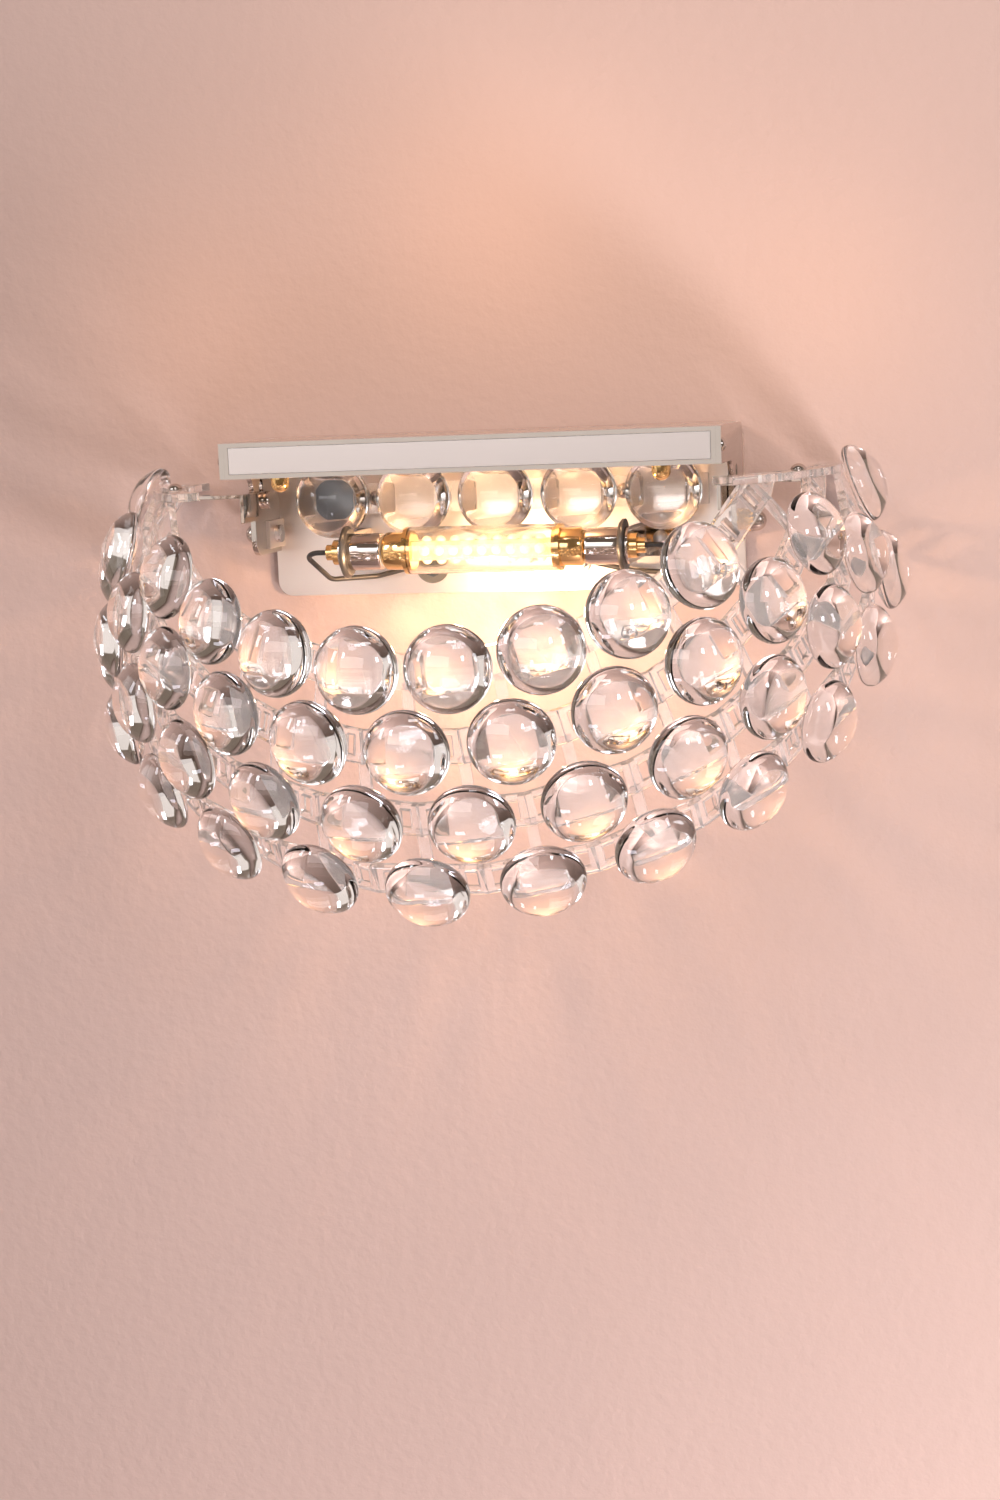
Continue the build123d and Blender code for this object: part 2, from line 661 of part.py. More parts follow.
def hoop(row):
    """All links of a row, trimmed under the top rails and short of the wall, by their turn about the axis."""
    above = block(-FAR, FAR, -FAR, FAR, RAIL_BOTTOM, FAR)
    behind = block(-FAR, FAR, -WALL_GAP, FAR, -FAR, FAR)
    single = link(row)
    links = {}
    for turn in spots(ROW_LINKS[row]):
        piece = in_bowl(single, turn)
        box = piece.bounding_box()
        if box.max.Z > RAIL_BOTTOM:
            piece -= above
        if box.max.Y > -WALL_GAP:
            piece -= behind
        links[turn] = piece
    return links


def crystals(row):
    """All crystals of a row, each flat on the pad of its link."""
    seat = link_plane(row).location * crystal()
    return [in_bowl(seat, turn) for turn in spots(ROW_CRYSTALS[row])]


def strut(row, turn, upper, lower):
    """Short bar from a row's lower rail to the next row's upper rail, coped to both."""
    sink = STRUT_SINK - LINK_WIDTH / 2
    depth = -LINK_THICK / 2
    start = link_plane(row).from_local_coords(Vector(0, sink, depth))
    end = link_plane(row + 1).from_local_coords(Vector(0, -sink, depth))
    along = end - start
    section = Plane(origin=start, x_dir=(0, 1, 0), z_dir=along) * Rectangle(STRUT_WIDTH, STRUT_THICK)
    bar = extrude(section, amount=along.length)
    bar = in_bowl(bar, turn)
    for other_turn, piece in [*upper.items(), *lower.items()]:
        if abs(other_turn - turn) < LINK_STEP_ANGLE:
            bar -= piece
    return bar


def frame_struts(hoops):
    """Struts under every crystal of the rows below the first, as far as both rows reach."""
    bars = []
    for row in range(len(ROW_CRYSTALS) - 1):
        reach = max(hoops[row]) + LINK_STEP_ANGLE / 2
        for turn in spots(ROW_CRYSTALS[row + 1]):
            if abs(turn) + LINK_STEP_ANGLE / 2 < reach:
                bars.append(strut(row, turn, hoops[row], hoops[row + 1]))
    return bars


def rail_end_angle():
    """Angle on the top rail, from the wall, of the end of the first row."""
    tilt = radians(BOWL_TILT_ANGLE)
    row = radians(FIRST_ROW_ANGLE)
    above = RAIL_ABOVE / BOWL_RADIUS
    across = (cos(row) * sin(tilt) - above) / (sin(row) * cos(tilt))
    forward = cos(row) * cos(tilt) + sin(row) * across * sin(tilt)
    sideways = sin(row) * sqrt(1 - across ** 2)
    return degrees(atan2(forward, sideways))


def top_rail():
    """Right top rail: a flat curved ladder from the first row's end back to the wall."""
    end = rail_end_angle() + RAIL_LAP
    ring = Circle(RAIL_OUTER) - Circle(RAIL_INNER)
    wedge = make_face(
        Polyline((0, 0), (FAR, FAR), (FAR, 0), (FAR * cos(radians(end)), -FAR * sin(radians(end))), close=True)
    )
    flat = ring & wedge
    screw_angle = degrees(atan2(-FOOT_MIDDLE - BOWL_FORWARD, RAIL_SCREW_X))
    window = Rectangle(RAIL_INSIDE - 2 * LINK_RAIL, RAIL_INNER * radians(RAIL_WINDOW_ANGLE))
    step = RAIL_WINDOW_STEP_ANGLE
    for index in range(1, int(end / step)):
        angle = index * step
        if abs(angle - screw_angle) > step:
            flat -= Rot(0, 0, -angle) * Pos(RAIL_INNER + RAIL_INSIDE / 2, 0) * window
    body = extrude(Pos(0, -BOWL_FORWARD, RAIL_BOTTOM) * flat, amount=RAIL_THICK)
    body -= block(-FAR, FAR, -WALL_GAP, FAR, -FAR, FAR)
    return body - rod((RAIL_SCREW_X, FOOT_MIDDLE, RAIL_BOTTOM), (0, 0, 1), BAR_SCREW_RADIUS + SNUG, RAIL_THICK)


def hanger():
    """Right hanger: an upright plate inside the cheek and a foot that reaches out under the top rail."""
    low = RAIL_BOTTOM - HANGER_HEIGHT
    rear = -SLOT_FROM_WALL + HANGER_PAST_SLOT
    body = block(HANGER_IN, HANGER_OUT, -HANGER_FRONT, rear, low, RAIL_BOTTOM)
    foot_rear = HANGER_FOOT - HANGER_FRONT
    body += block(HANGER_IN, FOOT_END, -HANGER_FRONT, foot_rear, RAIL_BOTTOM - HANGER_THICK, RAIL_BOTTOM)
    body -= rod((HANGER_IN, -SLOT_FROM_WALL, SLOT_Z), (1, 0, 0), SCREW_RADIUS + SNUG, HANGER_THICK)
    low_end = (RAIL_SCREW_X, FOOT_MIDDLE, RAIL_BOTTOM - HANGER_THICK)
    return body - rod(low_end, (0, 0, 1), BAR_SCREW_RADIUS + SNUG, HANGER_THICK)


def hanger_screw():
    """Dome-headed screw through the cheek's slot into the hanger, with a nut face inside."""
    head = (CHEEK_OUT + LOOSE, -SLOT_FROM_WALL, SLOT_Z)
    inside = (HANGER_IN, -SLOT_FROM_WALL, SLOT_Z)
    body = rod(head, (-1, 0, 0), SCREW_RADIUS, head[0] - inside[0])
    body += dome(head, (1, 0, 0), DOME_RADIUS, SLOT_DOME_HEIGHT)
    return body + rod(inside, (-1, 0, 0), NUT_RADIUS, SCREW_RADIUS)


def rail_screw():
    """Dome-headed screw that holds the top rail down on the hanger's foot."""
    head = (RAIL_SCREW_X, FOOT_MIDDLE, RAIL_BOTTOM + RAIL_THICK)
    body = rod(head, (0, 0, -1), BAR_SCREW_RADIUS, RAIL_THICK + HANGER_THICK)
    return body + dome(head, (0, 0, 1), BACK_DOME_RADIUS, SCREW_RADIUS)


# Straight row behind the bar


def back_spots():
    """Places of the back crystals along X."""
    return [(index - (BACK_COUNT - 1) / 2) * BACK_PITCH for index in range(BACK_COUNT)]


def back_rail():
    """Straight ladder rail that carries the back crystals."""
    flat = Rectangle(BACK_COUNT * BACK_PITCH, LINK_WIDTH)
    cell = (BACK_PITCH - LINK_PAD - 2 * LINK_RUNG) / 2
    window = Rectangle(cell - LINK_RUNG, LINK_WIDTH - 2 * LINK_RAIL)
    for x in back_spots():
        for side in (-1, 1):
            flat -= Pos(x + side * (LINK_PAD + cell) / 2, 0) * window
    for side in (-1, 1):
        flat -= Pos(side * BACK_SCREW_X, 0) * Circle(BACK_SCREW_RADIUS + SNUG)
    face = Plane(origin=(0, BACK_FACE, BACK_Z), x_dir=(1, 0, 0), z_dir=(0, -1, 0))
    return extrude(face * flat, amount=-LINK_THICK)


def back_crystals():
    """Crystals flat on the back rail."""
    faces = [Plane(origin=(x, BACK_FACE, BACK_Z), z_dir=(0, -1, 0)) for x in back_spots()]
    return [face.location * crystal() for face in faces]


def back_spacer():
    """Spacer between the wall plate and the back rail."""
    start = (BACK_SCREW_X, PLATE_FRONT, BACK_Z)
    body = rod(start, (0, -1, 0), BACK_DOME_RADIUS, BACK_GAP)
    return body - rod(start, (0, -1, 0), BACK_SCREW_RADIUS + SNUG, BACK_GAP)


def back_screw():
    """Dome-headed screw through the back rail and its spacer."""
    start = (BACK_SCREW_X, BACK_FACE, BACK_Z)
    body = rod(start, (0, 1, 0), BACK_SCREW_RADIUS, BACK_GAP + LINK_THICK)
    return body + dome(start, (0, -1, 0), BACK_DOME_RADIUS, SCREW_RADIUS)


def write_pair(name, shape):
    """Writes a right-hand piece and its left-hand twin as two nodes."""
    write(f"{name}_right", shape)
    write(f"{name}_left", left(shape))


def main():
    """Builds every piece and writes it."""
    os.makedirs("parts", exist_ok=True)
    write("wall_plate", wall_plate())
    write_pair("end_cheek", cheek())
    write("front_bar", front_bar())
    write("bar_face", bar_face())
    write("bar_screws", *both(bar_screw()))
    write("under_nuts", *both(under_nut()))
    write("cheek_bolts", *both(cheek_bolt()))
    write("cheek_spacers", *both(cheek_spacer()))
    write("dome_nuts", *both(dome_nut()))
    write("cable_bush", cable_bush())
    write("terminal_block", terminal_block())
    write("terminal_screws", *terminal_screws())
    write("earth_screw", earth_screw())
    write_pair("lamp_arm", lamp_arm())
    write("arm_screws", *both(arm_screw()))
    write_pair("holder_shell", holder_shell())
    write_pair("holder_core", holder_core())
    write_pair("holder_flange", holder_flange())
    write_pair("holder_stem", holder_stem())
    write_pair("contact", contact())
    write_pair("contact_spring", contact_spring())
    write_pair("lead", lead())
    write("lamp_tube", lamp_tube())
    write("lamp_core", lamp_core())
    write("lamp_leds", *lamp_leds())
    write_pair("lamp_cap", lamp_cap())
    write("lamp_pins", *both(lamp_pin()))
    write("back_rail", back_rail())
    write("back_crystals", *back_crystals())
    write("back_spacers", *both(back_spacer()))
    write("back_screws", *both(back_screw()))
    hoops = [hoop(row) for row in range(len(ROW_CRYSTALS))]
    for row, links in enumerate(hoops):
        write(f"hoop_{row + 1}", *links.values())
        write(f"crystals_row_{row + 1}", *crystals(row))
    write("frame_struts", *frame_struts(hoops))
    write_pair("top_rail", top_rail())
    write_pair("hanger", hanger())
    write("hanger_screws", *both(hanger_screw()))
    write("rail_screws", *both(rail_screw()))


main()
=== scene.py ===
"""Dresses the crystal wall sconce: cut crystals, clear links, nickel, gilt and a lit lamp, on a pale wall."""

import json
import logging
import math
from dataclasses import dataclass, field
from enum import Enum

import bmesh
import bpy
from mathutils import Matrix, Quaternion, Vector


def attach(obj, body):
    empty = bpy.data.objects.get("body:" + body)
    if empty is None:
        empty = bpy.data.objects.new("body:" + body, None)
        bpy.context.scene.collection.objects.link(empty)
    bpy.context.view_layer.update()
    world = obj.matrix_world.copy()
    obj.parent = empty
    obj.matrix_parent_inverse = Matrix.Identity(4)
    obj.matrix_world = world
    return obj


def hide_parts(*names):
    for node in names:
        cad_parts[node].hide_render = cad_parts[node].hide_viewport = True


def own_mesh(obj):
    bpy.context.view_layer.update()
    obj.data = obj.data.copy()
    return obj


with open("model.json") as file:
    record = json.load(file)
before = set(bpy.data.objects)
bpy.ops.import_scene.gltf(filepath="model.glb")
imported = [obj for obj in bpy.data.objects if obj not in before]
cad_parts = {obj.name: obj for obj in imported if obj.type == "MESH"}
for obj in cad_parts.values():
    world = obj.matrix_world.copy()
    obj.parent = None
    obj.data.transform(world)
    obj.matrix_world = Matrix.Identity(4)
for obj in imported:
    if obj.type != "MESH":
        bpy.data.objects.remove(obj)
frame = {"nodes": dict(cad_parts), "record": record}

LOG = logging.getLogger("sconce")
MM = 0.001
SAME_PLACE = 1e-6
NORMAL_DIGITS = 3
PATTERN_LOW = 0.3
PATTERN_HIGH = 0.7
NO_STRETCH = (1.0, 1.0, 1.0)


class Body(str, Enum):
    """CAD bodies that the new pieces ride on."""

    WALL_UNIT = "wall_unit"
    BASKET = "basket"


class Metal(str, Enum):
    """How a metal's surface was worked."""

    POLISHED = "polished"
    BRUSHED = "brushed"
    CAST = "cast"


def socket(node: bpy.types.Node, name: str, value: object) -> None:
    """Sets one input socket's own value.

    Args:
        node: Node that has the socket.
        name: The socket's name.
        value: Number or colour.
    """
    node.inputs[name].default_value = value


def new_material(name: str) -> tuple[bpy.types.Material, bpy.types.NodeTree, bpy.types.Node]:
    """A new node material with its Principled shader.

    Args:
        name: The material's name.

    Returns:
        The material, its node tree and its Principled node.
    """
    material = bpy.data.materials.new(name)
    material.use_nodes = True
    tree = material.node_tree
    return material, tree, tree.nodes["Principled BSDF"]


def object_mapping(tree: bpy.types.NodeTree, scale: tuple[float, float, float]) -> bpy.types.NodeSocket:
    """Object coordinates through a Mapping node.

    Args:
        tree: Tree of the material.
        scale: Scale of the pattern on each axis.

    Returns:
        The mapped vector.
    """
    place = tree.nodes.new("ShaderNodeTexCoord")
    mapping = tree.nodes.new("ShaderNodeMapping")
    socket(mapping, "Scale", scale)
    tree.links.new(place.outputs["Object"], mapping.inputs["Vector"])
    return mapping.outputs["Vector"]


def noise(
    tree: bpy.types.NodeTree,
    vector: bpy.types.NodeSocket,
    scale: float,
    detail: float,
    roughness: float = 0.5,
) -> bpy.types.NodeSocket:
    """A noise pattern.

    Args:
        tree: Tree of the material.
        vector: Where the pattern is read.
        scale: Scale of the pattern.
        detail: Octaves.
        roughness: Weight of the finer octaves.

    Returns:
        The noise factor.
    """
    node = tree.nodes.new("ShaderNodeTexNoise")
    socket(node, "Scale", scale)
    socket(node, "Detail", detail)
    socket(node, "Roughness", roughness)
    tree.links.new(vector, node.inputs["Vector"])
    return node.outputs["Fac"]


def spread(
    tree: bpy.types.NodeTree, factor: bpy.types.NodeSocket, low: float, high: float
) -> bpy.types.NodeSocket:
    """Maps a pattern's middle range on to a range of values.

    Args:
        tree: Tree of the material.
        factor: The pattern.
        low: Value where the pattern is low.
        high: Value where it is high.

    Returns:
        The mapped value.
    """
    node = tree.nodes.new("ShaderNodeMapRange")
    socket(node, "From Min", PATTERN_LOW)
    socket(node, "From Max", PATTERN_HIGH)
    socket(node, "To Min", low)
    socket(node, "To Max", high)
    tree.links.new(factor, node.inputs["Value"])
    return node.outputs["Result"]


def colour_between(
    tree: bpy.types.NodeTree, factor: bpy.types.NodeSocket, low: tuple, high: tuple
) -> bpy.types.NodeSocket:
    """A colour between two, by a pattern.

    Args:
        tree: Tree of the material.
        factor: The pattern.
        low: Colour where the pattern is low.
        high: Colour where it is high.

    Returns:
        The mixed colour.
    """
    ramp = tree.nodes.new("ShaderNodeValToRGB")
    ramp.color_ramp.elements[0].position = PATTERN_LOW
    ramp.color_ramp.elements[0].color = (*low, 1.0)
    ramp.color_ramp.elements[1].position = PATTERN_HIGH
    ramp.color_ramp.elements[1].color = (*high, 1.0)
    tree.links.new(factor, ramp.inputs["Fac"])
    return ramp.outputs["Color"]


def bump(
    tree: bpy.types.NodeTree, height: bpy.types.NodeSocket, strength: float, distance: float
) -> bpy.types.NodeSocket:
    """A bumped normal.

    Args:
        tree: Tree of the material.
        height: The pattern that gives the height.
        strength: How far the bump counts.
        distance: Height of the bump in metres.

    Returns:
        The normal.
    """
    node = tree.nodes.new("ShaderNodeBump")
    socket(node, "Strength", strength)
    socket(node, "Distance", distance)
    tree.links.new(height, node.inputs["Height"])
    return node.outputs["Normal"]


@dataclass(frozen=True)
class MetalFinish:
    """A plated metal with faint tone changes and fine marks of how it was worked."""

    name: str
    colour: tuple[float, float, float]
    roughness: float
    working: Metal
    tone: float = 0.06
    uneven: float = 0.4
    brushed_stretch: tuple[float, float, float] = (4.0, 300.0, 300.0)
    plain_stretch: tuple[float, float, float] = (60.0, 60.0, 60.0)
    brushed_scale: float = 9.0
    plain_scale: float = 1.2
    grain_detail: float = 4.0
    mark_scale: float = 20.0
    mark_detail: float = 3.0
    mark_roughness: float = 0.6
    mark_strength: float = 0.05
    mark_height: float = 0.02 * MM

    def make(self) -> bpy.types.Material:
        """Builds the material.

        Returns:
            The new material.
        """
        material, tree, shader = new_material(self.name)
        socket(shader, "Metallic", 1.0)
        brushed = self.working is Metal.BRUSHED
        vector = object_mapping(tree, self.brushed_stretch if brushed else self.plain_stretch)
        grain = noise(tree, vector, self.brushed_scale if brushed else self.plain_scale, self.grain_detail)
        marks = noise(tree, vector, self.mark_scale, self.mark_detail, self.mark_roughness)
        darker = tuple(channel * (1.0 - self.tone) for channel in self.colour)
        tree.links.new(colour_between(tree, grain, darker, self.colour), shader.inputs["Base Color"])
        tree.links.new(
            spread(tree, grain, self.roughness * (1.0 - self.uneven), self.roughness * (1.0 + self.uneven)),
            shader.inputs["Roughness"],
        )
        if self.working is not Metal.POLISHED:
            normal = bump(tree, marks, self.mark_strength, self.mark_height)
            tree.links.new(normal, shader.inputs["Normal"])
        return material


@dataclass(frozen=True)
class ClearFinish:
    """Clear crystal, acrylic or lamp glass, with a trace of ripple in its surface."""

    name: str
    colour: tuple[float, float, float]
    index: float
    roughness: float
    ripple: float
    ripple_scale: float
    clear: float = 1.0
    uneven: float = 0.6
    ripple_detail: float = 2.0
    ripple_height: float = 1.0 * MM

    def make(self) -> bpy.types.Material:
        """Builds the material.

        Returns:
            The new material.
        """
        material, tree, shader = new_material(self.name)
        socket(shader, "Base Color", (*self.colour, 1.0))
        socket(shader, "Transmission Weight", self.clear)
        socket(shader, "IOR", self.index)
        vector = object_mapping(tree, NO_STRETCH)
        waves = noise(tree, vector, self.ripple_scale, self.ripple_detail)
        tree.links.new(
            spread(tree, waves, self.roughness * (1.0 - self.uneven), self.roughness * (1.0 + self.uneven)),
            shader.inputs["Roughness"],
        )
        tree.links.new(bump(tree, waves, self.ripple, self.ripple_height), shader.inputs["Normal"])
        return material


@dataclass(frozen=True)
class MouldedFinish:
    """Moulded plastic, rubber or ceramic with a fine grain."""

    name: str
    colour: tuple[float, float, float]
    roughness: float
    grain_scale: float
    grain: float
    tone: float = 0.14
    uneven: float = 0.15
    patch_scale: float = 90.0
    patch_detail: float = 3.0
    grain_detail: float = 2.0
    grain_height: float = 0.2 * MM

    def make(self) -> bpy.types.Material:
        """Builds the material.

        Returns:
            The new material.
        """
        material, tree, shader = new_material(self.name)
        vector = object_mapping(tree, NO_STRETCH)
        patch = noise(tree, vector, self.patch_scale, self.patch_detail)
        grain = noise(tree, vector, self.grain_scale, self.grain_detail)
        darker = tuple(channel * (1.0 - self.tone) for channel in self.colour)
        tree.links.new(colour_between(tree, patch, darker, self.colour), shader.inputs["Base Color"])
        tree.links.new(
            spread(tree, patch, self.roughness * (1.0 - self.uneven), self.roughness * (1.0 + self.uneven)),
            shader.inputs["Roughness"],
        )
        tree.links.new(bump(tree, grain, self.grain, self.grain_height), shader.inputs["Normal"])
        return material


@dataclass(frozen=True)
class LitFinish:
    """A lit part of the lamp: an even warm glow over a faintly mottled base."""

    name: str
    colour: tuple[float, float, float]
    strength: float
    unlit: float = 0.2
    roughness: float = 0.4
    patch_scale: float = 300.0
    patch_detail: float = 2.0

    def make(self) -> bpy.types.Material:
        """Builds the material.

        Returns:
            The new material.
        """
        material, tree, shader = new_material(self.name)
        vector = object_mapping(tree, NO_STRETCH)
        patch = noise(tree, vector, self.patch_scale, self.patch_detail)
        darker = tuple(channel * self.unlit for channel in self.colour)
        paler = tuple((1.0 + channel) / 2 * self.unlit for channel in self.colour)
        tree.links.new(colour_between(tree, patch, darker, paler), shader.inputs["Base Color"])
        socket(shader, "Emission Color", (*self.colour, 1.0))
        socket(shader, "Emission Strength", self.strength)
        socket(shader, "Roughness", self.roughness)
        return material


@dataclass(frozen=True)
class WallFinish:
    """Pale painted wall with a fine stipple, clear from behind so that the sconce's back shows."""

    name: str
    colour: tuple[float, float, float]
    roughness: float
    tone: float = 0.06
    patch_scale: float = 3.0
    patch_detail: float = 3.0
    stipple_scale: float = 160.0
    stipple_detail: float = 3.0
    stipple_roughness: float = 0.6
    stipple_strength: float = 0.35
    stipple_height: float = 1.5 * MM

    def make(self) -> bpy.types.Material:
        """Builds the material.

        Returns:
            The new material.
        """
        material, tree, shader = new_material(self.name)
        vector = object_mapping(tree, NO_STRETCH)
        patch = noise(tree, vector, self.patch_scale, self.patch_detail)
        stipple = noise(tree, vector, self.stipple_scale, self.stipple_detail, self.stipple_roughness)
        darker = tuple(channel * (1.0 - self.tone) for channel in self.colour)
        tree.links.new(colour_between(tree, patch, darker, self.colour), shader.inputs["Base Color"])
        socket(shader, "Roughness", self.roughness)
        normal = bump(tree, stipple, self.stipple_strength, self.stipple_height)
        tree.links.new(normal, shader.inputs["Normal"])
        side = tree.nodes.new("ShaderNodeNewGeometry")
        clear = tree.nodes.new("ShaderNodeBsdfTransparent")
        mix = tree.nodes.new("ShaderNodeMixShader")
        tree.links.new(side.outputs["Backfacing"], mix.inputs["Fac"])
        tree.links.new(shader.outputs["BSDF"], mix.inputs[1])
        tree.links.new(clear.outputs["BSDF"], mix.inputs[2])
        tree.links.new(mix.outputs["Shader"], tree.nodes["Material Output"].inputs["Surface"])
        return material


FINISHES = {
    "polished_nickel": MetalFinish("polished nickel", (0.60, 0.55, 0.51), 0.06, Metal.POLISHED),
    "satin_nickel": MetalFinish("satin nickel", (0.66, 0.605, 0.58), 0.34, Metal.BRUSHED, 0.015, 0.1),
    "gilt": MetalFinish("bright gilt", (0.94, 0.66, 0.30), 0.12, Metal.POLISHED, 0.12),
    "steel": MetalFinish("zinc plated steel", (0.66, 0.66, 0.67), 0.28, Metal.CAST, 0.12),
    "black": MouldedFinish("dark flange", (0.03, 0.028, 0.026), 0.35, 1500.0, 0.1),
    "lead_cover": MouldedFinish("lead sleeve", (0.025, 0.022, 0.02), 0.5, 1800.0, 0.2),
    "bush_rubber": MouldedFinish("bush rubber", (0.05, 0.05, 0.05), 0.6, 1500.0, 0.25),
    "ceramic": MouldedFinish("holder ceramic", (0.84, 0.81, 0.76), 0.55, 1600.0, 0.25),
    "terminal_plastic": MouldedFinish("terminal plastic", (0.78, 0.76, 0.70), 0.45, 1200.0, 0.15),
    "crystal": ClearFinish("cut crystal", (1.0, 0.995, 0.99), 1.55, 0.012, 0.02, 60.0),
    "clear_acrylic": ClearFinish("clear acrylic", (1.0, 0.975, 0.965), 1.46, 0.03, 0.05, 200.0, 0.9),
    "lamp_glass": ClearFinish("lamp glass", (1.0, 0.97, 0.90), 1.45, 0.10, 0.02, 120.0),
    "lamp_stick": LitFinish("lamp stick", (1.0, 0.62, 0.26), 0.6),
    "light_point": LitFinish("light point", (1.0, 0.74, 0.38), 1.5),
}
NODE_FINISHES = {
    "wall_plate": MetalFinish("inner plate nickel", (0.86, 0.79, 0.74), 0.30, Metal.POLISHED, 0.01, 0.08),
}
WALL_PAINT = WallFinish("wall paint", (0.36, 0.257, 0.226), 0.7)
CLEAR_SLOTS = ("crystal", "lamp_glass", "lamp_stick", "light_point")


def node_slots() -> dict[str, str]:
    """The record's material slot of each CAD node.

    Returns:
        Node name to slot name.
    """
    return {row["node"]: row["material_slot"] for row in frame["record"]["subparts"]}


def flat_backs(node: str) -> list[tuple[Vector, Vector]]:
    """The flat back of each crystal of a CAD node.

    Args:
        node: The node's name.

    Returns:
        For each solid, the middle of its flat back and the way from there to its front.
    """
    work = bmesh.new()
    work.from_mesh(frame["nodes"][node].data)
    bmesh.ops.remove_doubles(work, verts=work.verts, dist=SAME_PLACE)
    backs = []
    seen = set()
    for first in work.faces:
        if first in seen:
            continue
        solid = [first]
        seen.add(first)
        for face in solid:
            for edge in face.edges:
                fresh = [other for other in edge.link_faces if other not in seen]
                seen.update(fresh)
                solid.extend(fresh)
        backs.append(largest_flat(solid))
    work.free()
    return backs


def largest_flat(faces: list) -> tuple[Vector, Vector]:
    """The largest flat of a solid.

    Args:
        faces: The solid's faces.

    Returns:
        The flat's middle and the way into the solid from it.
    """
    groups = {}
    for face in faces:
        key = tuple(round(part, NORMAL_DIGITS) + 0.0 for part in face.normal)
        groups.setdefault(key, []).append(face)
    flat = max(groups.values(), key=lambda group: sum(face.calc_area() for face in group))
    area = sum(face.calc_area() for face in flat)
    middle = sum((face.calc_center_median() * face.calc_area() for face in flat), Vector()) / area
    return middle, -flat[0].normal


def deselect() -> None:
    """Leaves nothing selected and no object in edit mode."""
    if bpy.context.object is not None and bpy.context.object.mode != "OBJECT":
        bpy.ops.object.mode_set(mode="OBJECT")
    bpy.ops.object.select_all(action="DESELECT")


def activate(piece: bpy.types.Object) -> None:
    """Makes one object the only one selected, and the active one.

    Args:
        piece: The object.
    """
    deselect()
    piece.select_set(True)
    bpy.context.view_layer.objects.active = piece


def apply_modifier(piece: bpy.types.Object, kind: str, **settings: object) -> None:
    """Adds a modifier, sets it and applies it.

    Args:
        piece: The object.
        kind: The modifier's type.
        settings: Its settings.
    """
    activate(piece)
    modifier = piece.modifiers.new(kind.lower(), kind)
    for name, value in settings.items():
        setattr(modifier, name, value)
    bpy.ops.object.modifier_apply(modifier=modifier.name)


def finish_piece(
    piece: bpy.types.Object, name: str, body: Body, slot: str, finish: bpy.types.Material
) -> None:
    """Names a new piece, dresses it and sets it on its body.

    Args:
        piece: The object.
        name: Its name.
        body: The body that it rides on.
        slot: The record's material slot.
        finish: Its material.
    """
    piece.name = name
    piece.data.name = name
    piece.data.materials.clear()
    piece.data.materials.append(finish)
    piece.visible_shadow = slot not in CLEAR_SLOTS
    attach(piece, body.value)
    LOG.info("%s: %d faces on %s", name, len(piece.data.polygons), body.value)


